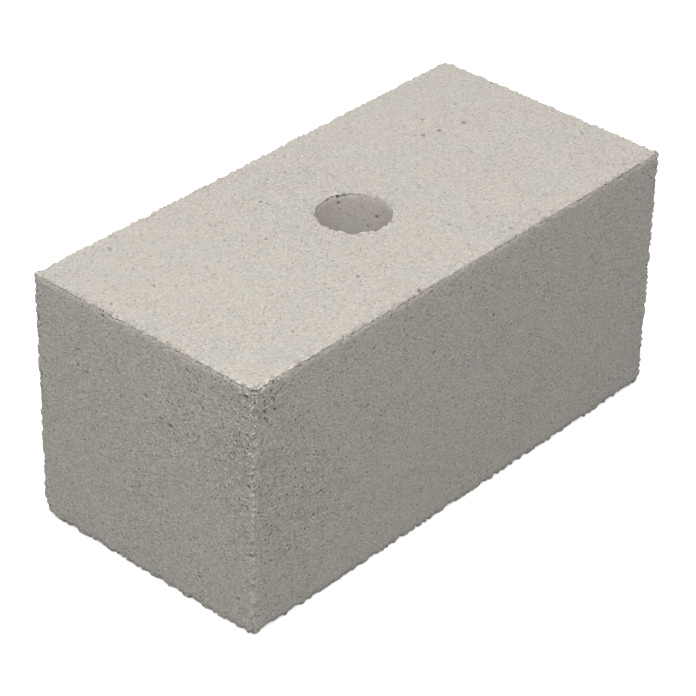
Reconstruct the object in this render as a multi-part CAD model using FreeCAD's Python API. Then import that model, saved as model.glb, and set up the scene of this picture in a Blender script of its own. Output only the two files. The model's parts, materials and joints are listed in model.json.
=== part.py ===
import FreeCAD, Part
import os

# Calcium silicate brick: one pressed and steam-hardened block of lime and sand,
# with a single round handling hole pressed straight through from bed face to bed face.
#
# Frame: +X along the length, +Y along the width, +Z up. The origin is the middle of
# the lower bed face, so the brick stands on Z = 0 as it is laid.

# Driving dimensions, in millimetres.
length = 240.0         # stretcher face, along X
width = 115.0          # header face, along Y
height = 113.0         # between the two bed faces, along Z
arris_radius = 0.8     # slight rounding that the press leaves along every outer edge
hole_diameter = 30.0   # handling hole, the same from top to bottom
hole_shift_x = -2.5    # the core pin stands this far from the middle of the length
hole_shift_y = 0.0     # and this far from the middle of the width

# The cutter for the hole runs out past both bed faces.
cutter_overrun = 10.0


def pressed_block():
    """The outer block, standing on Z = 0 and centred in X and Y, with its twelve arrises eased."""
    corner = FreeCAD.Vector(-length / 2, -width / 2, 0)
    block = Part.makeBox(length, width, height, corner)
    return block.makeFillet(arris_radius, block.Edges)


def handling_hole():
    """The straight round core that leaves the handling hole, upright near the middle of the bed."""
    start = FreeCAD.Vector(hole_shift_x, hole_shift_y, -cutter_overrun)
    depth = height + 2 * cutter_overrun
    return Part.makeCylinder(hole_diameter / 2, depth, start, FreeCAD.Vector(0, 0, 1))


def brick():
    """The whole brick, one solid: the block less its handling hole."""
    return pressed_block().cut(handling_hole())


def export_nodes(nodes):
    """Writes each named solid to parts/NAME.step."""
    os.makedirs("parts", exist_ok=True)
    for name, shape in nodes.items():
        shape.exportStep(f"parts/{name}.step")
        print(f"{name}: {len(shape.Solids)} solid, {shape.Volume / 1e6:.4f} dm3, valid {shape.isValid()}")


export_nodes({"brick": brick()})
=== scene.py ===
import json
import math

import bpy
import numpy as np
from mathutils import Matrix, Vector


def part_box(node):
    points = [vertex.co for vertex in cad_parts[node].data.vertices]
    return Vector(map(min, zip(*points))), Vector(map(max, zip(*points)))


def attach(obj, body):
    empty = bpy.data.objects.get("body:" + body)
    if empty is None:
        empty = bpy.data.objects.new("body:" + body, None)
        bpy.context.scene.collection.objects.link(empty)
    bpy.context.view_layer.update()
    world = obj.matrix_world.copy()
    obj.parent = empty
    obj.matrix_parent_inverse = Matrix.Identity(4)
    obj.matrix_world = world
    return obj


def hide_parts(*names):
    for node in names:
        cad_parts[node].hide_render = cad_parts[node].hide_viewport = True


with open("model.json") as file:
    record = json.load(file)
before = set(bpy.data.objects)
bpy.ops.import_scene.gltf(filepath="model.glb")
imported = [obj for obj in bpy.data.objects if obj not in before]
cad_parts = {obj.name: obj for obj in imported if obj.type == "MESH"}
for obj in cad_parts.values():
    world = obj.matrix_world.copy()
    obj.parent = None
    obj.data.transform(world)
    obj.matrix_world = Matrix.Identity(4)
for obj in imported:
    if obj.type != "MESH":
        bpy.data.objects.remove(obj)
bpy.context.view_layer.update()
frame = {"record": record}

# Calcium silicate brick: the skin of one pressed block with its handling hole.
# Lengths are in metres, in the frame of the construction model.
mm = 0.001

low, high = (np.array(corner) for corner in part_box("brick"))
middle = (low + high) / 2
hole = next(m for m in frame["record"]["mounts"] if m["name"] == "handling_hole")
holeAxis = np.array(hole["pos_m"][:2])
holeRadius = hole["dims"]["r_mm"] * mm


# The camera: places are measured from the middle of the brick.
view = {
    "sensor": 36.0,         # millimetres, as the lens
    "lens": 148.03,
    "place": (-0.7286, -0.6393, 0.6281),
    "aim": (-0.0045, 0, -0.0065),
    "roll": 1.25,           # degrees, anticlockwise as the camera looks
}

# The lamps and the floor: the camera sees the floor in one shade, and it lights the brick in another.
light = {
    "sky": 0.32,            # even light from all round
    "boxes": {              # soft boxes: watts, place from the middle of the brick, and side
        "key": (13.25, (-0.56, -0.41, 1.13), 1.15),
        "fill": (3.6, (0.75, 0.80, 0.70), 0.70),
    },
    "floor": 0.95,          # its shade as the camera sees it
    "floorGlow": 0.55,      # and how far it glows near the brick, so that it looks white there
    "floorFar": (0.5, 1.6), # metres from the brick over which the glow rises to full white
    "floorBounce": (0.088, 0.105, 0.116),       # its colour as it lights the brick
    "floorSide": 12.0,
    "floorDrop": 0.05 * mm, # below the brick's foot
}


def addCamera():
    camera = bpy.data.objects.new("camera", bpy.data.cameras.new("camera"))
    bpy.context.scene.collection.objects.link(camera)
    camera.data.lens = view["lens"]
    camera.data.sensor_width = view["sensor"]
    place = Vector(middle + view["place"])
    back = place - Vector(middle + view["aim"])
    turn = back.to_track_quat("Z", "Y").to_matrix().to_4x4()
    roll = Matrix.Rotation(math.radians(view["roll"]), 4, "Z")
    camera.matrix_world = Matrix.Translation(place) @ turn @ roll
    bpy.context.scene.camera = camera


def nodeAdder(tree):
    # add(kind, inputs, settings) puts a node in the tree; an input is a value or another node's output
    def add(kind, inputs=None, **settings):
        node = tree.nodes.new("ShaderNode" + kind)
        for name, value in settings.items():
            setattr(node, name, value)
        for key, value in (inputs or {}).items():
            if isinstance(value, bpy.types.NodeSocket):
                tree.links.new(value, node.inputs[key])
            else:
                node.inputs[key].default_value = value
        return node
    return add


def ramp(add, value, start, end, fromValue=0.0, toValue=1.0):
    # smooth step from one value to another between two input levels
    inputs = {0: value, 1: start, 2: end, 3: fromValue, 4: toValue}
    return add("MapRange", inputs, interpolation_type="SMOOTHSTEP").outputs[0]


def seenOrLit(tree, seen, lit, output):
    # the camera, reflections and clear materials see one shader, and the brick is lit by the other
    add = nodeAdder(tree)
    path = add("LightPath")
    ray = path.outputs["Is Camera Ray"]
    for kind in ("Is Glossy Ray", "Is Transmission Ray"):
        ray = add("Math", {0: ray, 1: path.outputs[kind]}, operation="MAXIMUM").outputs[0]
    mix = add("MixShader", {0: ray, 1: lit.outputs[0], 2: seen.outputs[0]})
    add(output, {"Surface": mix.outputs[0]})


def addWorld():
    world = bpy.data.worlds.new("studio")
    bpy.context.scene.world = world
    world.use_nodes = True
    world.node_tree.nodes.clear()
    add = nodeAdder(world.node_tree)
    seen = add("Background", {"Color": (1, 1, 1, 1), "Strength": 1.0})
    lit = add("Background", {"Color": (1, 1, 1, 1), "Strength": light["sky"]})
    seenOrLit(world.node_tree, seen, lit, "OutputWorld")


def addLamps():
    for name, (power, place, side) in light["boxes"].items():
        lamp = bpy.data.lights.new(name, "AREA")
        lamp.energy = power
        lamp.size = side
        box = bpy.data.objects.new(name, lamp)
        bpy.context.scene.collection.objects.link(box)
        box.location = Vector(middle + place)
        box.rotation_euler = Vector(place).to_track_quat("Z", "Y").to_euler()
        box.visible_camera = False


def addFloor():
    half = light["floorSide"] / 2
    z = low[2] - light["floorDrop"]
    square = [(x, y, z) for x, y in ((-half, -half), (half, -half), (half, half), (-half, half))]
    mesh = bpy.data.meshes.new("floor")
    mesh.from_pydata(square, [], [(0, 1, 2, 3)])
    floor = bpy.data.objects.new("floor", mesh)
    bpy.context.scene.collection.objects.link(floor)
    material = bpy.data.materials.new("floorWhite")
    material.use_nodes = True
    material.node_tree.nodes.clear()
    add = nodeAdder(material.node_tree)
    reach = add("VectorMath", {0: add("TexCoord").outputs["Object"]}, operation="LENGTH").outputs["Value"]
    near, far = light["floorFar"]
    strength = ramp(add, reach, near, far, light["floorGlow"], 1.0)
    glow = add("Emission", {"Color": (1, 1, 1, 1), "Strength": strength})
    seen = add("BsdfDiffuse", {"Color": (*[light["floor"]] * 3, 1)})
    seen = add("AddShader", {0: seen.outputs[0], 1: glow.outputs[0]})
    lit = add("BsdfDiffuse", {"Color": (*light["floorBounce"], 1)})
    seenOrLit(material.node_tree, seen, lit, "OutputMaterial")
    mesh.materials.append(material)


bpy.context.scene.view_settings.view_transform = "Standard"
addCamera()
addWorld()
addLamps()
addFloor()
print("camera, lamps and floor are in place")


# Noise, worked out as whole arrays. The corners of a cell, and the steps to the cells round it:
corners = np.array([(x, y, z) for x in (0, 1) for y in (0, 1) for z in (0, 1)])
around = np.array([(x, y, z) for x in (-1, 0, 1) for y in (-1, 0, 1) for z in (-1, 0, 1)])


def hashed(cells, seed):
    # a repeatable random number from 0 to 1 for each whole-numbered cell: its coordinates times large
    # primes, added up, then stirred by shifts and multiplications
    n = (cells * np.array((73856093, 19349663, 83492791))).sum(-1) + seed * 2654435761
    for shift, factor in ((16, 73244475), (15, 73244475)):
        n = ((n ^ (n >> shift)) & 0xFFFFFFFF) * factor & 0xFFFFFFFF
    return ((n ^ (n >> 16)) & 0xFFFFFF) / 0xFFFFFF


def smoothNoise(points, size, seed):
    # -1 to 1: random values at the corners of a grid of this size, blended with weights t*t*(3 - 2t)
    scaled = points / size
    cell = np.floor(scaled).astype(np.int64)
    t = scaled - cell
    t = t * t * (3 - 2 * t)
    total = np.zeros(len(points))
    for corner in corners:
        total += np.where(corner, t, 1 - t).prod(-1) * hashed(cell + corner, seed)
    return 2 * total - 1


def layeredNoise(points, size, seed):
    # smooth noise, plus half as much at half the size, brought back to about -1 to 1
    return (smoothNoise(points, size, seed) + smoothNoise(points, size / 2, seed + 1) / 2) / 1.5


def nearestGrain(points, size, seed):
    # each cell of a grid has one grain at a random place; gives the distances to the nearest grain and to
    # the one after it, in grid cells, where the nearest lies, and two random numbers that belong to it
    scaled = points / size
    cell = np.floor(scaled).astype(np.int64)
    first, second = np.full((2, len(points)), 9.0)
    nearest = np.zeros_like(scaled)
    owner = np.zeros_like(cell)
    for step in around:
        other = cell + step
        place = other + np.stack([hashed(other, seed + k) for k in range(3)], -1)
        distance = np.sqrt(((place - scaled) ** 2).sum(-1))
        closer = distance < first
        second = np.where(closer, first, np.minimum(second, distance))
        first = np.minimum(first, distance)
        nearest[closer], owner[closer] = place[closer], other[closer]
    return first, second, nearest * size, hashed(owner, seed + 3), hashed(owner, seed + 4)


def smoothStep(start, end, x):
    # 0 before the start, 1 past the end, and 3t^2 - 2t^3 between
    t = np.clip((x - start) / (end - start), 0, 1)
    return t * t * (3 - 2 * t)


# The plain block, as a lattice of cells that are smallest where the surface has most shape.
skin = {
    "cell": 0.44 * mm,          # the smallest cells, along the arrises and in the pores
    "doublings": 3,             # how often a cell's side may be doubled away from them
    "fineBand": 1.15 * mm,      # smallest cells within this of an arris
    "nextBand": 2.8 * mm,       # and cells of twice that within this
    "faceDoublings": 3,         # cells on the open faces
    "footDoublings": 3,         # and on the lower bed and deep in the hole
    "holeSquare": 24.0 * mm,    # half the side of the square that the cells round the hole fill
    "squareMargin": 2.0 * mm,   # cells of four times the smallest within this of it
    "holeRows": 32,             # lattice rows from the rim out to that square
    "rimRows": 6,               # smallest cells at the upper rim, in rows each way
    "rimBand": 6.0 * mm,        # cells of twice the smallest within this of a rim, down the hole
    "wallBand": 30.0 * mm,      # and of four times the smallest down to here
    "poreMargin": 0.3 * mm,     # smallest cells in each pore and within this of it
    "weld": 0.001 * mm,
}

# The larger pores: two coordinates on that face from the middle of the brick's foot, and a radius, in
# millimetres. For the hole's wall they are degrees round it, depth and radius.
pores = {
    "upper bed": [
        (83, 16, 1.2), (71, 19, 1.1), (63, 21, 1.0), (93, 29, 0.8), (45, 47, 0.7), (16, -33, 0.9),
        (31, -52, 0.8), (-37, -33, 0.9), (-35, -35, 0.6), (110, -25, 0.8), (102, -53, 0.8), (-22, 32, 0.9),
        (-53, 22, 0.7), (-41, 11, 0.8), (-88, 49, 0.9), (-92, 32, 0.7), (-95, 18, 0.8), (-72, 13, 0.7),
        (-82, -41, 0.8), (12, -8, 0.8), (-16, 14, 0.6),
    ],
    "header": [
        (-15, 77, 1.0), (-2, 84, 0.9), (-24, 106, 0.9), (20, 110, 0.9), (1, 101, 0.7), (-55, 69, 0.9),
        (-56, 38, 0.9), (-29, 14, 0.8), (-53.6, 108, 0.9), (-50, 104, 0.6), (-32, 93, 0.8),
    ],
    "stretcher": [
        (-58, 75, 0.9), (-83, 49, 0.8), (-87, 40, 0.9), (-117, 111, 0.9), (-107.5, 105, 0.8),
        (-113.5, 103, 0.8), (-104, 107, 0.6), (-109, 110.5, 0.7),
    ],
    "wall": [
        (56, 0.9, 0.9), (66, 1.1, 1.2), (77, 0.8, 0.8), (86, 1.0, 1.05), (98, 0.7, 0.9), (66, 4.5, 0.75),
        (5, 9.5, 0.9), (40, 8, 0.5), (48, 11, 0.5), (30, 6.5, 0.5), (20, 15, 0.6), (120, 12, 0.7),
        (-83, 0.8, 0.7),
    ],
    "strays": 130,                  # smaller ones anywhere on the outside
    "strayRadius": (0.45, 0.8),
    "strayGap": 5.0 * mm,           # kept clear on the beds round the hole's square
    "seed": 11,
}


def placePores():
    # every pore as a point on the plain block and a radius, in metres
    found = [(x, y, high[2] / mm, r) for x, y, r in pores["upper bed"]]
    found += [(low[0] / mm, y, z, r) for y, z, r in pores["header"]]
    found += [(x, low[1] / mm, z, r) for x, z, r in pores["stretcher"]]
    for degrees, depth, r in pores["wall"]:
        turn = math.radians(degrees)
        x, y = (holeAxis + holeRadius * np.array((math.cos(turn), math.sin(turn)))) / mm
        found.append((x, y, high[2] / mm - depth, r))
    rng = np.random.default_rng(pores["seed"])
    count = pores["strays"]
    size = high - low
    areas = size.prod() / size
    axis = rng.choice(3, count, p=areas / areas.sum())
    places = low + rng.random((count, 3)) * size
    places[np.arange(count), axis] = np.where(rng.random(count) < 0.5, low[axis], high[axis])
    radii = rng.uniform(*pores["strayRadius"], count) * mm
    clear = np.abs(places[:, :2] - holeAxis).max(1) > skin["holeSquare"] + pores["strayGap"]
    strays = np.column_stack([places, radii])[clear | (axis != 2)]
    return np.concatenate([np.array(found) * mm, strays])


poreTable = placePores()


def latticeLines():
    # the lattice lines along X, Y and Z: about one smallest cell apart, in whole groups of the largest
    # cell, with the sides of the hole's square on lines between groups
    group = 2 ** skin["doublings"]
    result = []
    for axis in range(3):
        stops = [low[axis], high[axis]]
        if axis < 2:
            stops[1:1] = [holeAxis[axis] - skin["holeSquare"], holeAxis[axis] + skin["holeSquare"]]
        runs = [np.array(stops[:1])]
        for start, end in zip(stops, stops[1:]):
            groups = max(1, round((end - start) / (skin["cell"] * group)))
            runs.append(np.linspace(start, end, groups * group + 1)[1:])
        result.append(np.concatenate(runs))
    return result


lines = latticeLines()


def midpoints(values):
    # halfway between each value and the next
    return (values[1:] + values[:-1]) / 2


def besidePores(points, wanted):
    # the smallest cells in and just round each pore
    for *place, radius in poreTable:
        wanted[((points - place) ** 2).sum(-1) < (radius + skin["poreMargin"]) ** 2] = 0


def besideCell(mask, du, dv, wraps):
    # for each cell the value of the one beside it, and False past an open border
    moved = np.roll(mask, (-du, -dv), axis=(0, 1))
    if dv:
        moved[:, -1 if dv > 0 else 0] = False
    if du and not wraps:
        moved[-1 if du > 0 else 0] = False
    return moved


def splitMaps(wanted, wraps):
    # for each size of cell, which are split into four: those that hold a place where smaller cells are
    # wanted, and those beside a cell that is split twice, so that neighbours differ by one doubling at most
    splits = {}
    rows, columns = wanted.shape
    for level in range(1, skin["doublings"] + 1):
        side = 2 ** level
        splits[level] = (wanted.reshape(rows // side, side, columns // side, side) < level).any(axis=(1, 3))
    for level in range(1, skin["doublings"]):
        spread = splits[level].copy()
        for du in (-1, 0, 1):
            for dv in (-1, 0, 1):
                spread |= besideCell(splits[level], du, dv, wraps)
        rows, columns = splits[level + 1].shape
        splits[level + 1] |= spread.reshape(rows, 2, columns, 2).any(axis=(1, 3))
    return splits


def cellRing(i, j, side):
    # the four corners of each cell, turning from the first axis to the second
    steps = ((0, 0), (side, 0), (side, side), (0, side))
    return np.stack([np.stack((i + di, j + dj), -1) for di, dj in steps], 1)


def cellFaces(wanted, keep, wraps):
    # the faces over a lattice, as places (i, j) on it: a square for each cell, or, where smaller cells
    # touch it, a fan of triangles from its middle that takes in their corners
    splits = splitMaps(wanted, wraps)
    squares, triangles = [], []
    for level in range(skin["doublings"], -1, -1):
        side = 2 ** level
        leaf = keep[::side, ::side].copy()
        if level < skin["doublings"]:
            leaf &= splits[level + 1].repeat(2, 0).repeat(2, 1)
        finer = [np.zeros_like(leaf)] * 4
        if level:
            leaf &= ~splits[level]
            sides = ((0, -1), (1, 0), (0, 1), (-1, 0))
            finer = [besideCell(splits[level], du, dv, wraps) for du, dv in sides]
        fanned = leaf & np.logical_or.reduce(finer)
        i, j = np.nonzero(leaf & ~fanned)
        squares.append(cellRing(i * side, j * side, side))
        i, j = np.nonzero(fanned)
        ring = cellRing(i * side, j * side, side)
        centre = ring[:, 0] + side // 2
        for k in range(4):
            a, b = ring[:, k], ring[:, (k + 1) % 4]
            between = (a + b) // 2
            halved = finer[k][fanned]
            triangles.append(np.stack([centre, a, b], 1)[~halved])
            triangles.append(np.stack([centre, a, between], 1)[halved])
            triangles.append(np.stack([centre, between, b], 1)[halved])
    return np.concatenate(squares), np.concatenate(triangles)


def latticePatch(wanted, keep, wraps, place, spot, flip):
    # one piece of the skin: points on the plain block, their places on the bake map, squares and triangles;
    # place(i, j) gives a lattice place's point, and spot(points, i) its place on the map
    columns = wanted.shape[1] + 1
    turned = slice(None, None, -1 if flip else 1)
    faces = cellFaces(wanted, keep, wraps)
    squares, triangles = ((f[..., 0] * columns + f[..., 1])[:, turned] for f in faces)
    used, at = np.unique(np.concatenate([squares.ravel(), triangles.ravel()]), return_inverse=True)
    points = place(used // columns, used % columns)
    squares, triangles = at[:squares.size].reshape(-1, 4), at[squares.size:].reshape(-1, 3)
    return points, spot(points, used // columns), squares, triangles


# The bake map, in metres of brick before it is shrunk to the unit square: the upper bed and both stretchers
# fill the left column, and the headers, the hole's wall and the lower bed the right one.
length, width, height = high - low
bakeMap = {
    "gap": 3 * mm,
    "wallScale": 0.7,       # round the hole
    "footScale": 0.47,      # the lower bed, which is seen least
}


def bakeCorners():
    # the lower left corner of each patch on the map
    gap = bakeMap["gap"]
    right = length + gap
    return {
        (2, 1): (0, 0),
        (1, -1): (0, width + gap),
        (1, 1): (0, width + height + 2 * gap),
        (0, -1): (right, 0),
        (0, 1): (right, width + gap),
        "wall": (right, 2 * (width + gap)),
        (2, -1): (right, 2 * width + 3 * gap + bakeMap["wallScale"] * 2 * math.pi * holeRadius),
    }


mapCorner = bakeCorners()
mapSide = mapCorner[2, -1][1] + bakeMap["footScale"] * width


def facePatch(axis, side):
    # one flat face of the plain block, less the hole's square on the two beds
    u, v = (axis + 1) % 3, (axis + 2) % 3
    across, up = ((2, 1), (0, 2), (0, 1))[axis]
    fixed = high[axis] if side > 0 else low[axis]
    scale = bakeMap["footScale"] if (axis, side) == (2, -1) else 1

    def place(i, j):
        points = np.empty((*np.broadcast(i, j).shape, 3))
        points[..., axis], points[..., u], points[..., v] = fixed, lines[u][i], lines[v][j]
        return points

    def spot(points, i):
        return mapCorner[axis, side] + scale * (points[:, (across, up)] - low[[across, up]])

    centres = np.empty((len(lines[u]) - 1, len(lines[v]) - 1, 3))
    centres[..., axis] = fixed
    centres[..., u], centres[..., v] = np.meshgrid(midpoints(lines[u]), midpoints(lines[v]), indexing="ij")
    gap = np.sort(np.minimum(centres - low, high - centres), axis=-1)[..., 1]
    wanted = np.full(gap.shape, skin["footDoublings" if (axis, side) == (2, -1) else "faceDoublings"])
    wanted[gap < skin["nextBand"]] = 1
    wanted[gap < skin["fineBand"]] = 0
    besidePores(centres, wanted)
    keep = np.ones(wanted.shape, bool)
    if axis == 2:
        fromAxis = np.abs(centres[..., :2] - holeAxis).max(-1)
        keep = fromAxis > skin["holeSquare"]
        wanted[fromAxis < skin["holeSquare"] + skin["squareMargin"]] = 2
    return latticePatch(wanted, keep, False, place, spot, side < 0)


def ringPlace(i, j, perSide):
    # the cells round the hole: row 0 is the rim, evenly divided, and the last row is the square, each of
    # its sides evenly divided; rows between them are blended by (t + t^2) / 2, which crowds them at the rim
    quarter, along = np.divmod(i, perSide)
    turn = quarter * math.pi / 2
    y = 2 * along / perSide - 1
    cos, sin = np.cos(turn), np.sin(turn)
    square = skin["holeSquare"] * np.stack([cos - y * sin, sin + y * cos], -1)
    angle = turn + (along / perSide - 0.5) * math.pi / 2
    circle = holeRadius * np.stack([np.cos(angle), np.sin(angle)], -1)
    t = (j / skin["holeRows"])[..., None]
    blend = (t + t * t) / 2
    return holeAxis + circle * (1 - blend) + square * blend


def ringPatch(side):
    # the part of a bed round the hole, out to the square
    perSide = int((np.abs(midpoints(lines[0]) - holeAxis[0]) < skin["holeSquare"]).sum())
    z = high[2] if side > 0 else low[2]
    scale = bakeMap["footScale"] if side < 0 else 1

    def place(i, j):
        return np.column_stack([ringPlace(i, j, perSide), np.full(len(i), z)])

    def spot(points, i):
        return mapCorner[2, side] + scale * (points[:, :2] - low[:2])

    i, j = np.meshgrid(np.arange(4 * perSide) + 0.5, np.arange(skin["holeRows"]) + 0.5, indexing="ij")
    centres = place(i.ravel(), j.ravel()).reshape(*i.shape, 3)
    wanted = np.where(j < skin["holeRows"] / 2, 1, 2)
    besidePores(centres, wanted)
    wanted[:, :skin["rimRows"]] = 0 if side > 0 else 1
    wanted[:, -2 ** skin["doublings"]:] = 2
    return latticePatch(wanted, np.ones(wanted.shape, bool), True, place, spot, side > 0)


def wallPatch():
    # the wall of the hole: once round by the full height
    perSide = int((np.abs(midpoints(lines[0]) - holeAxis[0]) < skin["holeSquare"]).sum())
    circumference = 2 * math.pi * holeRadius

    def place(i, j):
        return np.column_stack([ringPlace(i, j * 0, perSide), lines[2][j]])

    def spot(points, i):
        turned = i / (4 * perSide) * circumference * bakeMap["wallScale"]
        return mapCorner["wall"] + np.column_stack([points[:, 2] - low[2], turned])

    i, z = np.meshgrid(np.arange(4 * perSide) + 0.5, midpoints(lines[2]), indexing="ij")
    centres = np.dstack([ringPlace(i.ravel(), i.ravel() * 0, perSide).reshape(*i.shape, 2), z])
    depth = np.minimum(z - low[2], high[2] - z)
    openCells = np.where(high[2] - z < skin["wallBand"], 2, skin["footDoublings"])
    wanted = np.where(depth < skin["rimBand"], 1, openCells)
    besidePores(centres, wanted)
    wanted[:, :2], wanted[:, -skin["rimRows"]:] = 1, 0
    return latticePatch(wanted, np.ones(wanted.shape, bool), True, place, spot, True)


def joinPatches(patches):
    # one closed mesh: points at the same place become one vertex, and each face corner keeps its own place
    # on the bake map
    points = np.concatenate([p[0] for p in patches])
    spots = np.concatenate([p[1] for p in patches]) / mapSide
    starts = np.cumsum([0] + [len(p[0]) for p in patches])
    squares = np.concatenate([p[2] + start for p, start in zip(patches, starts)])
    triangles = np.concatenate([p[3] + start for p, start in zip(patches, starts)])
    keys = np.round(points / skin["weld"]).astype(np.int64)
    keys, first, at = np.unique(keys, axis=0, return_index=True, return_inverse=True)
    at = at.reshape(-1)
    cornerSpots = np.concatenate([spots[squares].reshape(-1, 2), spots[triangles].reshape(-1, 2)])
    return points[first], at[squares], at[triangles], cornerSpots


patches = [facePatch(axis, side) for axis in range(3) for side in (-1, 1)]
patches += [ringPatch(1), ringPatch(-1), wallPatch()]
plain, squares, triangles, cornerSpots = joinPatches(patches)
print("lattice:", len(plain), "points,", 2 * len(squares) + len(triangles), "triangles")


# Worn arrises, broken rims, grains and pores.
wear = {
    "arris": (0.20 * mm, 7.0 * mm, 0.5),    # mean radius of an arris, then size and strength of its drift
    "rim": (0.20 * mm, 5.0 * mm, 0.5),      # the same for the hole's rims
    "rimZone": 6.0 * mm,        # points within this outside the hole's wall belong to its rims
    "sound": 0.3 * mm,          # radius at a sound corner, and at the knocked ones
    "knocked": {
        (-1, 1, -1): 4.8 * mm,
        (-1, -1, -1): 2.4 * mm,
        (1, -1, -1): 2.4 * mm,
        (1, 1, 1): 2.2 * mm,
    },
    "ragged": (1.5 * mm, 0.45), # outline of the larger breaks: size and strength of its unevenness
    "poreRagged": (0.9 * mm, 0.25),
    "lost": (                   # grains that fell off: size, share gone at the edge, reach and depth
        (3.0 * mm, 0.12, 0.6 * mm, 0.70 * mm),
        (1.5 * mm, 0.24, 0.7 * mm, 0.60 * mm),
    ),
    "crumb": (1.5 * mm, 0.40, 0.8 * mm),    # crumbs left on an edge, which carry a painted highlight: size, share and reach
    "fray": {                   # how deep the arrises waver: in long waves, and in short steps
        "crown": (0.40 * mm, 1.20 * mm),
        "upright": (0.10 * mm, 0.90 * mm),
        "foot": (1.10 * mm, 2.00 * mm),
    },
    "frayLong": 7.0 * mm,       # length of the waves, of the steps, and how far in they reach
    "frayShort": 1.35 * mm,
    "frayReach": 1.0 * mm,
    "frayBand": (1.0 * mm, 4.0 * mm),       # crown and foot end between these distances from a bed
    "frayWeak": 1.5,            # how much of a weak spot's share goes to its arris
    "crumbHold": 0.8,           # share of the fray that a crumb stops
    "bead": 1.3 * mm,           # beads along an edge, which carry a painted highlight: size and reach
    "beadReach": 0.6 * mm,
    "grain": 1.3 * mm,          # modelled grains: size, depth, and how far from an arris they fade out
    "grainDepth": 0.16 * mm,
    "grainReach": 2.6 * mm,
    "swell": 0.09 * mm,         # long low unevenness of the pressed faces
    "swellSize": 16.0 * mm,
    "poreDepth": 0.9,           # of a pore's radius
}

# Larger bites out of an arris: a point on it, radius and depth, in millimetres.
bites = [
    (-120, 12.5, 113, 3.6, 0.9), (-120, 7, 113, 2.2, 0.5), (-120, 55, 113, 2.4, 0.5),
    (-111, -57.5, 0, 2.8, 1.6), (-104, -57.5, 0, 1.8, 1.2), (-97, -57.5, 0, 2.4, 1.4),
    (100, -57.5, 0, 2.4, 0.8), (-120, 42, 0, 2.0, 0.8), (-120, 31, 0, 1.8, 0.7), (-120, 8, 0, 2.0, 0.8),
    (-120, -7, 0, 1.8, 0.9), (-120, -16, 0, 1.6, 0.7), (-120, -25, 0, 1.8, 0.6), (-60, -57.5, 0, 2.0, 0.7),
    (-35, -57.5, 0, 1.8, 0.7), (-5, -57.5, 0, 2.0, 0.7), (18, -57.5, 0, 1.8, 0.6), (52, -57.5, 0, 2.2, 0.8),
    (79, -57.5, 0, 1.8, 0.7), (-120, -57.5, 106, 2.6, 0.7), (-114, -57.5, 113, 2.8, 0.7),
    (-120, -51, 113, 2.6, 0.7), (-60, 57.5, 113, 2.8, 0.6), (30, 57.5, 0, 3.0, 0.8),
    (120, 20, 113, 2.6, 0.7), (120, -30, 0, 3.0, 0.8),
]

# Each spot is a point, a radius in millimetres and what is added there to a share. Weak spots have more of
# the grains gone and a rougher arris, calm ones a straighter arris, and crumb spots more crumbs and beads,
# with their painted highlight.
weakSpots = [
    (-120, -57.5, 113, 12, 0.20), (-120, -20, 113, 22, 0.20), (-110, -57.5, 0, 12, 0.35),
    (120, -57.5, 55, 60, 0.35), (-112, -57.5, 110, 7, 0.30), (14, 2, 113, 14, 0.20),
    (-2.5, -15, 113, 14, 0.20), (-120, 57.5, 60, 50, 0.10),
]
calmSpots = [(-120, -57.5, 35, 48, -0.55)]
crumbSpots = [
    (-8, -14, 113, 10, 0.40), (6, 13, 113, 7, 0.40), (-114, -57.5, 110, 8, 0.50),
    (-120, -57.5, 45, 60, 0.30), (-120, -38, 113, 14, 0.35), (-100, -57.5, 113, 14, 0.35),
    (120, -57.5, 60, 60, 0.30),
]

# Broken places on the hole's upper rim: degrees round it and half the spread, then reach and depth in
# millimetres.
rimBreaks = [(-29, 5, 1.6, 0.7), (-83, 6, 1.6, 0.8), (170, 9, 1.4, 0.5), (-140, 7, 1.4, 0.5)]


def fromHole(points):
    # distance outside the hole's wall, and direction away from its axis
    outward = points[:, :2] - holeAxis
    reach = np.linalg.norm(outward, axis=1)
    return reach - holeRadius, outward / reach[:, None]


def edgeDistance(points):
    # how far each point is from the nearest arris, and from the nearest rim
    gaps = np.sort(np.minimum(points - low, high - points), axis=1)
    outside, outward = fromHole(points)
    bedGap = np.minimum(points[:, 2] - low[2], high[2] - points[:, 2])
    return np.hypot(gaps[:, 0], gaps[:, 1]), np.hypot(outside, bedGap)


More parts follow.
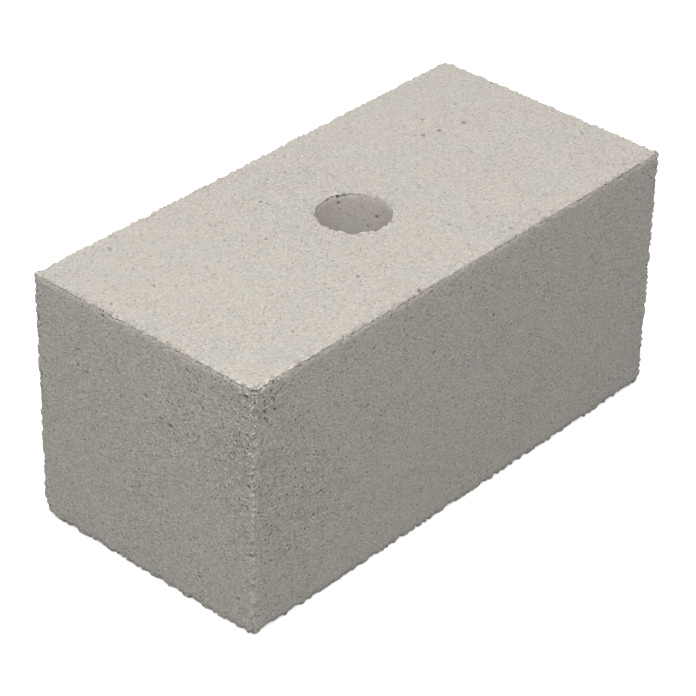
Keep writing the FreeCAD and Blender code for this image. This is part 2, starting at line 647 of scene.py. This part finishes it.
def roundedBlock(points):
    # Rounds the arrises and rims with a radius r that changes from place to place. A point p is clamped to
    # the block made smaller by r on each side, which gives q, and goes out again by r: it ends at
    # q + r * (p - q) / |p - q|. The rims are done in the same way, across the plane of distance outside the
    # wall and depth below the bed. Also gives the outward direction.
    mean, size, drift = wear["arris"]
    radius = mean * (1 + drift * smoothNoise(points, size, 21))
    for sides in corners * 2 - 1:
        cornerRadius = wear["knocked"].get(tuple(sides.tolist()), wear["sound"])
        distance = np.linalg.norm(points - np.where(sides > 0, high, low), axis=1)
        radius += cornerRadius * np.exp(-(distance / (1.1 * cornerRadius)) ** 2)
    radius = radius[:, None]
    core = np.clip(points, low + radius, high - radius)
    out = points - core
    distance = np.linalg.norm(out, axis=1, keepdims=True)
    out /= np.maximum(distance, 1e-9)
    shaped = core + radius * out

    outside, outward = fromHole(points)
    near = outside < wear["rimZone"]
    up = np.where(points[:, 2] > middle[2], 1, -1)
    across = np.stack([outside, np.minimum(points[:, 2] - low[2], high[2] - points[:, 2])], 1)[near]
    mean, size, drift = wear["rim"]
    radius = (mean * (1 + drift * smoothNoise(points[near], size, 22)))[:, None]
    core = np.maximum(across, radius)
    turn = across - core
    turn /= np.linalg.norm(turn, axis=1, keepdims=True)
    across = core + radius * turn
    bed = np.where(up > 0, high[2], low[2])[near]
    shaped[near, :2] = holeAxis + outward[near] * (holeRadius + across[:, :1])
    shaped[near, 2] = bed - up[near] * across[:, 1]
    out[near, :2] = outward[near] * turn[:, :1]
    out[near, 2] = -up[near] * turn[:, 1]
    return shaped, out


def added(points, spots):
    # what the spots add at each point: extra * exp(-(distance / radius)^2) each
    total = np.zeros(len(points))
    for x, y, z, radius, extra in spots:
        total += extra * np.exp(-(np.linalg.norm(points / mm - (x, y, z), axis=1) / radius) ** 2)
    return total


def lostGrains(points, gap):
    # Near an edge a share of the grains has fallen off, fewer further in: share * exp(-distance / reach). A
    # lost grain leaves a flat-bottomed pit with steep sides along its border with the next one.
    depth = np.zeros(len(points))
    for i, (size, share, reach, deepest) in enumerate(wear["lost"]):
        near = np.flatnonzero(gap < 4 * reach)
        first, second, centre, name, kind = nearestGrain(points[near], size, 31 + 10 * i)
        inward = np.maximum(np.minimum(*edgeDistance(centre)) - 0.3 * size, 0)
        likely = (share + added(centre, weakSpots)) * np.exp(-inward / reach)
        depth[near] += deepest * (0.4 + 0.6 * kind) * (name < likely) * smoothStep(0, 0.3, second - first)
    return depth


def onEdge(points):
    # the nearest point of the nearest arris or rim
    bounds = np.where(points > middle, high, low)
    nearest = np.argsort(np.abs(points - bounds), axis=1)
    spots = np.where(nearest.argsort(axis=1) < 2, bounds, points)
    outside, outward = fromHole(points)
    rim = outside < wear["rimZone"]
    spots[rim, :2] = holeAxis + outward[rim] * holeRadius
    spots[rim, 2] = bounds[rim, 2]
    return spots


def crumbsWithHighlight(points, gap):
    # crumbs and beads that stand on the edges, 0 to 1, which hold back the fray and carry a painted
    # highlight: a bell over some of the grains that fades out over the reach
    size, share, reach = wear["crumb"]
    crumbs = np.zeros(len(points))
    near = np.flatnonzero(gap < 4 * reach)
    first, _, centre, name, kind = nearestGrain(points[near], size, 91)
    more = added(centre, crumbSpots)
    bell = np.clip(1.5 * (1 - first ** 2 / 0.4), 0, 1)
    fade = np.exp(-gap[near] / (reach * (1 + 3 * more)))
    crumbs[near] = (name < share + more) * (0.5 + 0.5 * kind) * bell * fade
    beads = smoothStep(-0.1, 0.3, smoothNoise(onEdge(points[near]), wear["bead"], 95))
    beads *= np.clip(0.4 + 2 * more, 0, 1) * np.exp(-gap[near] / wear["beadReach"])
    crumbs[near] = np.maximum(crumbs[near], beads)
    return crumbs


def frayedEdges(points, gap):
    # the arrises waver: (depth * long waves + depth * short steps) * exp(-distance / reach), most at the
    # foot; the noise is read on the arris itself, so that a notch cuts right across it
    spots = onEdge(points)
    waves = 0.5 + 0.5 * smoothNoise(spots, wear["frayLong"], 101)
    steps = smoothStep(-0.25, 0.25, smoothNoise(spots, wear["frayShort"], 102))
    foot = 1 - smoothStep(*wear["frayBand"], points[:, 2] - low[2])
    crown = 1 - smoothStep(*wear["frayBand"], high[2] - points[:, 2])
    shares = {"crown": crown, "upright": 1 - foot - crown, "foot": foot}
    depth = sum(shares[k] * (long * waves + short * steps) for k, (long, short) in wear["fray"].items())
    rough = 1 + wear["frayWeak"] * added(points, weakSpots) + added(points, calmSpots)
    return depth * rough * np.exp(-gap / wear["frayReach"])


def brokenEdges(points):
    # Depth of the larger breaks: a bite is a bowl, depth * (1 - distance^2 / radius^2) round a point on the
    # edge, with an uneven outline, and a broken stretch of the rim fades along it and across it.
    rimGap = edgeDistance(points)[1]
    depth = np.zeros(len(points))
    size, strength = wear["ragged"]
    ragged = 1 + strength * smoothNoise(points, size, 41)
    for x, y, z, radius, deepest in bites:
        distance = np.linalg.norm(points / mm - (x, y, z), axis=1) / (radius * ragged)
        depth += deepest * mm * np.clip(1 - distance ** 2, 0, 1)
    outward = fromHole(points)[1]
    angle = np.degrees(np.arctan2(outward[:, 1], outward[:, 0]))
    upper = points[:, 2] > middle[2]
    for centre, spread, reach, deepest in rimBreaks:
        turned = np.abs((angle - centre + 180) % 360 - 180) / (spread * ragged)
        fall = np.clip(1 - (rimGap / mm / (reach * ragged)) ** 2, 0, 1)
        depth += deepest * mm * np.where(upper, np.clip(1 - turned ** 4, 0, 1) * fall, 0)
    return depth


def poreDepths(points):
    # a pore of radius r is a pit of depth poreDepth * r * (1 - (d / r)^2)^0.7 at distance d, with an uneven
    # outline
    depth = np.zeros(len(points))
    size, strength = wear["poreRagged"]
    ragged = 1 + strength * smoothNoise(points, size, 51)
    for *place, radius in poreTable:
        near = np.flatnonzero(np.abs(points - place).max(1) < 1.5 * radius)
        distance = np.linalg.norm(points[near] - place, axis=1) / (radius * ragged[near])
        pit = wear["poreDepth"] * radius * np.clip(1 - distance ** 2, 0, 1) ** 0.7
        depth[near] = np.maximum(depth[near], pit)
    return depth


# How open the texture is: 1 is the usual side of a brick. A coarse place is a point, a radius in
# millimetres and how much is added there.
texture = {
    "bed": 0.86,
    "side": 1.0,
    "wall": 0.35,               # in the hole
    "drift": (35 * mm, 0.25),   # size and strength of the natural variation
    "coarse": [
        (-120, -57.5, 88, 42, 0.75), (-104, -57.5, 50, 34, 0.40), (-120, -8, 66, 26, 0.30),
        (-118, -57, 109, 15, 0.9),
    ],
}


def openness(points, out):
    # bed and side blended by how far the surface faces up or down, and the coarser places as soft bells
    upright = out[:, 2] ** 2
    value = texture["bed"] * upright + texture["side"] * (1 - upright)
    value = np.where(fromHole(points)[0] < 0.01 * mm, texture["wall"], value)
    size, strength = texture["drift"]
    value *= 1 + strength * layeredNoise(points, size, 81)
    for x, y, z, radius, extra in texture["coarse"]:
        distance = np.linalg.norm(points / mm - (x, y, z), axis=1) / radius
        value += extra * (1 - upright) * np.exp(-2 * distance ** 2)
    return value


# What the skin tells its material, each from 0 to 1: one mask is a painted highlight on the crumbs and
# beads of the edges, with the lighter stone of fresh breaks, and the other is painted shade in pores and
# where grains are lost. The depths are those at which a mask starts or is full.
masks = {
    "freshTone": 0.2,           # of a break, where a crumb has 1
    "fresh": (0.1 * mm, 0.6 * mm),
    "pitted": (0.1 * mm, 0.4 * mm),         # no painted highlight and no fresh tone inside a pit
    # depths at which the painted shade in pores and in lost grains is full
    "hollowPore": 0.8 * mm,
    "hollowLost": 2.0 * mm,
}


def buildSkin():
    # the rounded block, moved inwards against its outward direction by the sum of all the depths
    shaped, out = roundedBlock(plain)
    gap = np.minimum(*edgeDistance(plain))
    lost, crumbs = lostGrains(plain, gap), crumbsWithHighlight(plain, gap)
    frayed = frayedEdges(plain, gap) * (1 - wear["crumbHold"] * crumbs)
    broken = brokenEdges(plain)
    pitted = poreDepths(plain)
    besideArris = 1 - smoothStep(0.4 * wear["grainReach"], wear["grainReach"], gap)
    first, _, _, tall, _ = nearestGrain(plain, wear["grain"], 61)
    domes = (0.4 + 0.6 * tall) * np.clip(1 - first ** 2 / 0.5, 0, 1)
    grains = wear["grainDepth"] * (1 - domes) * besideArris
    swell = wear["swell"] * (0.5 + 0.5 * layeredNoise(plain, wear["swellSize"], 71))
    final = shaped - out * (lost + broken + frayed + pitted + grains + swell)[:, None]

    mesh = bpy.data.meshes.new("brick_skin")
    mesh.from_pydata(final.tolist(), [], squares.tolist() + triangles.tolist())
    mesh.uv_layers.new(name="OFBake").data.foreach_set("uv", cornerSpots.ravel())
    # a painted highlight on crumbs and beads, and the lighter stone of fresh breaks; none inside pits
    worn = np.clip(crumbs + masks["freshTone"] * smoothStep(*masks["fresh"], broken), 0, 1)
    worn *= 1 - smoothStep(*masks["pitted"], pitted + lost)
    # painted shade, darkest in deep pores and where grains are lost
    hollow = np.clip(pitted / masks["hollowPore"] + lost / masks["hollowLost"], 0, 1)
    for name, values in (("worn", worn), ("hollow", hollow), ("open", openness(plain, out))):
        mesh.attributes.new(name, "FLOAT", "POINT").data.foreach_set("value", values)
    mesh.shade_smooth()
    mesh.validate()
    brick = bpy.data.objects.new("brick_skin", mesh)
    bpy.context.scene.collection.objects.link(brick)
    return brick


brick = buildSkin()
print("skin of the brick:", len(brick.data.vertices), "vertices")


def nodeGroup(name, inputs, outputs):
    # a shader group with number sockets, and a vector one for an input without a value; gives the group,
    # its node adder, the values that it is given and the sockets that take its results
    group = bpy.data.node_groups.new(name, "ShaderNodeTree")
    for label, value in inputs.items():
        kind = "NodeSocketVector" if value is None else "NodeSocketFloat"
        socket = group.interface.new_socket(label, in_out="INPUT", socket_type=kind)
        if value is not None:
            socket.default_value = value
    for label in outputs:
        group.interface.new_socket(label, in_out="OUTPUT", socket_type="NodeSocketFloat")
    start, end = group.nodes.new("NodeGroupInput"), group.nodes.new("NodeGroupOutput")
    return group, nodeAdder(group), start.outputs, end.inputs


def mathIn(add):
    # calc(operation, a, b) gives the output of a Math node
    def calc(operation, a, b=0.0):
        return add("Math", {0: a, 1: b}, operation=operation).outputs[0]
    return calc


def makeSandGrain():
    # packed grains: each has a random tone and a dome over its middle; the cells are shifted about by
    # noise, so that the grains aren't all straight-sided
    inputs = {"Position": None, "Size": 0.001}
    group, add, given, result = nodeGroup("sandGrain", inputs, ("Tone", "Dome"))
    calc = mathIn(add)
    position = given["Position"]
    scale = calc("DIVIDE", 1.0, given["Size"])
    stir = add("TexNoise", {"Vector": position, "Scale": calc("MULTIPLY", scale, 1.3), "Detail": 1.0})
    shift = add("VectorMath", {0: stir.outputs["Color"], 1: (0.5, 0.5, 0.5)}, operation="SUBTRACT")
    reach = calc("MULTIPLY", given["Size"], 0.9)
    shift = add("VectorMath", {0: shift.outputs[0], "Scale": reach}, operation="SCALE")
    place = add("VectorMath", {0: position, 1: shift.outputs[0]}, operation="ADD").outputs[0]
    cells = add("TexVoronoi", {"Vector": place, "Scale": scale})
    parts = add("SeparateColor", {0: cells.outputs["Color"]})
    group.links.new(parts.outputs[0], result["Tone"])
    group.links.new(ramp(add, cells.outputs["Distance"], 0.75, 0.1), result["Dome"])
    return group


def makePoreField():
    # scattered small pores: some cells hold one, each of its own radius
    inputs = {"Position": None, "Spacing": 0.003, "Share": 0.3, "Radius": 0.0003}
    group, add, given, result = nodeGroup("poreField", inputs, ("Pore",))
    calc = mathIn(add)
    scale = calc("DIVIDE", 1.0, given["Spacing"])
    cells = add("TexVoronoi", {"Vector": given["Position"], "Scale": scale})
    parts = add("SeparateColor", {0: cells.outputs["Color"]})
    present = calc("LESS_THAN", parts.outputs[0], given["Share"])
    radius = calc("MULTIPLY", given["Radius"], calc("ADD", 0.5, parts.outputs[1]))
    distance = calc("MULTIPLY", cells.outputs["Distance"], given["Spacing"])
    depth = ramp(add, calc("DIVIDE", distance, radius), 1.0, 0.4)
    group.links.new(calc("MULTIPLY", depth, present), result["Pore"])
    return group


def makeMottle():
    # soft cloudy variation from -1 to 1
    inputs = {"Position": None, "Size": 0.02, "Detail": 2.0}
    group, add, given, result = nodeGroup("mottle", inputs, ("Value",))
    calc = mathIn(add)
    scale = calc("DIVIDE", 1.0, given["Size"])
    noise = add("TexNoise", {"Vector": given["Position"], "Scale": scale, "Detail": given["Detail"]})
    group.links.new(ramp(add, noise.outputs[0], 0.3, 0.7, -1.0, 1.0), result["Value"])
    return group


stone = {
    "colour": (0.623, 0.585, 0.534),
    "pink": (1.015, 0.995, 0.993),      # what the colour is multiplied by in the pinkish clouds
    "green": (0.988, 1.003, 0.992),     # and in the greenish ones
    "grain": 1.1 * mm,
    "grainTone": 0.13,                  # spread of tone from grain to grain
    "speck": 0.60 * mm,
    "speckTone": 0.07,
    "gap": 0.20,                        # painted shade in the gaps between grains, as a share of tone
    "cloud": 9 * mm,
    "cloudTone": 0.012,
    "tint": 15.3 * mm,                  # size of the pinkish and greenish clouds
    "dots": {                           # spacing, share of places filled, radius, and change of tone: painted shade in the pinholes, and the lighter stone of quartz grains
        "pinhole": (1.4 * mm, 0.60, 0.35 * mm, -0.46),
        "quartz": (1.5 * mm, 0.55, 0.36 * mm, 0.37),
    },
    # small pores painted in shade: spacing, share, radius and change of tone
    "pore": (2.0 * mm, 0.50, 0.42 * mm, -0.30),
    "hollow": -0.50,                    # painted shade: change of tone inside modelled pores and where grains are lost
    "worn": 0.50,                       # painted highlight on the crumbs and beads of an edge, with the lighter stone of fresh breaks
    "roughness": 0.92,
    "diffuse": 0.5,                     # a sandy face sends some light back the way it came
    "specular": 0.25,
    "bump": 0.18 * mm,                  # height of the relief, and what each thing adds to it
    "relief": {"grain": 0.6, "speck": 0.3, "tone": 0.3, "pinhole": -0.8, "quartz": 0.5},
    "quartzGloss": 0.15,                # how much less rough a quartz grain is
}


def calciumSilicate():
    # tone = 1 + open * (grains, specks, painted shade in the gaps and pinholes, and quartz) + clouds, times
    # 1 + change * mask for each of painted shade in the pores, painted shade in the modelled pits, and the
    # painted highlight with fresh breaks on the edges; colour = the stone's colour * tint * tone
    material = bpy.data.materials.new("calciumSilicate")
    material.use_nodes = True
    tree = material.node_tree
    tree.nodes.clear()
    add = nodeAdder(tree)
    calc = mathIn(add)
    position = add("TexCoord").outputs["Object"]

    def placed(group, inputs):
        node = add("Group", node_tree=group)
        tree.links.new(position, node.inputs["Position"])
        for name, value in inputs.items():
            node.inputs[name].default_value = value
        return node.outputs

    def dots(spacing, share, radius, change):
        return placed(poreField, {"Spacing": spacing, "Share": share, "Radius": radius})["Pore"], change

    def centred(value, amount):
        return calc("MULTIPLY", calc("SUBTRACT", value, 0.5), amount)

    def total(*values):
        result = values[0]
        for value in values[1:]:
            result = calc("ADD", result, value)
        return result

    grain = placed(sandGrain, {"Size": stone["grain"]})
    speck = placed(sandGrain, {"Size": stone["speck"]})
    cloud = placed(mottle, {"Size": stone["cloud"]})["Value"]
    tint = placed(mottle, {"Size": stone["tint"]})["Value"]
    names = ("worn", "hollow", "open")
    worn, hollow, openTexture = (add("Attribute", attribute_name=name).outputs["Fac"] for name in names)
    # pinholes and pores are painted in shade; quartz grains are lighter stone
    pinhole, pinholeShade = dots(*stone["dots"]["pinhole"])
    quartz, lighter = dots(*stone["dots"]["quartz"])
    pore, poreShade = dots(*stone["pore"])

    # the gap term is painted shade between the grains
    grainy = total(centred(grain["Tone"], stone["grainTone"]), centred(speck["Tone"], stone["speckTone"]),
                   centred(grain["Dome"], stone["gap"]), calc("MULTIPLY", pinhole, pinholeShade),
                   calc("MULTIPLY", quartz, lighter))
    tone = total(calc("MULTIPLY", grainy, openTexture), calc("MULTIPLY", cloud, stone["cloudTone"]), 1.0)
    # painted shade in the small pores and in the modelled pits, and a painted highlight on the edges'
    # crumbs and beads with the lighter stone of fresh breaks
    for mask, change in ((pore, poreShade), (hollow, stone["hollow"]), (worn, stone["worn"])):
        tone = calc("MULTIPLY", tone, calc("ADD", 1.0, calc("MULTIPLY", mask, change)))
    share = calc("ADD", 0.5, calc("MULTIPLY", tint, 0.5))
    tints = {0: share, 6: (*stone["green"], 1), 7: (*stone["pink"], 1)}
    tinted = add("Mix", tints, data_type="RGBA").outputs[2]
    colour = add("VectorMath", {0: tinted, 1: stone["colour"]}, operation="MULTIPLY").outputs[0]
    colour = add("VectorMath", {0: colour, "Scale": tone}, operation="SCALE").outputs[0]

    heights = {"grain": grain["Dome"], "speck": speck["Dome"], "tone": grain["Tone"], "pinhole": pinhole,
               "quartz": quartz}
    relief = total(*(calc("MULTIPLY", heights[name], part) for name, part in stone["relief"].items()))
    relief = calc("SUBTRACT", calc("MULTIPLY", relief, openTexture), pore)
    bump = add("Bump", {"Height": relief, "Distance": stone["bump"], "Strength": 1.0})
    roughness = calc("SUBTRACT", stone["roughness"], calc("MULTIPLY", quartz, stone["quartzGloss"]))
    shader = add("BsdfPrincipled", {
        "Base Color": colour,
        "Diffuse Roughness": stone["diffuse"],
        "Roughness": roughness,
        "Specular IOR Level": stone["specular"],
        "Normal": bump.outputs[0],
    })
    add("OutputMaterial", {"Surface": shader.outputs[0]})
    return material


sandGrain, poreField, mottle = makeSandGrain(), makePoreField(), makeMottle()
brick.data.materials.append(calciumSilicate())
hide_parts("brick")
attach(brick, "root")
print("the brick has its finish")
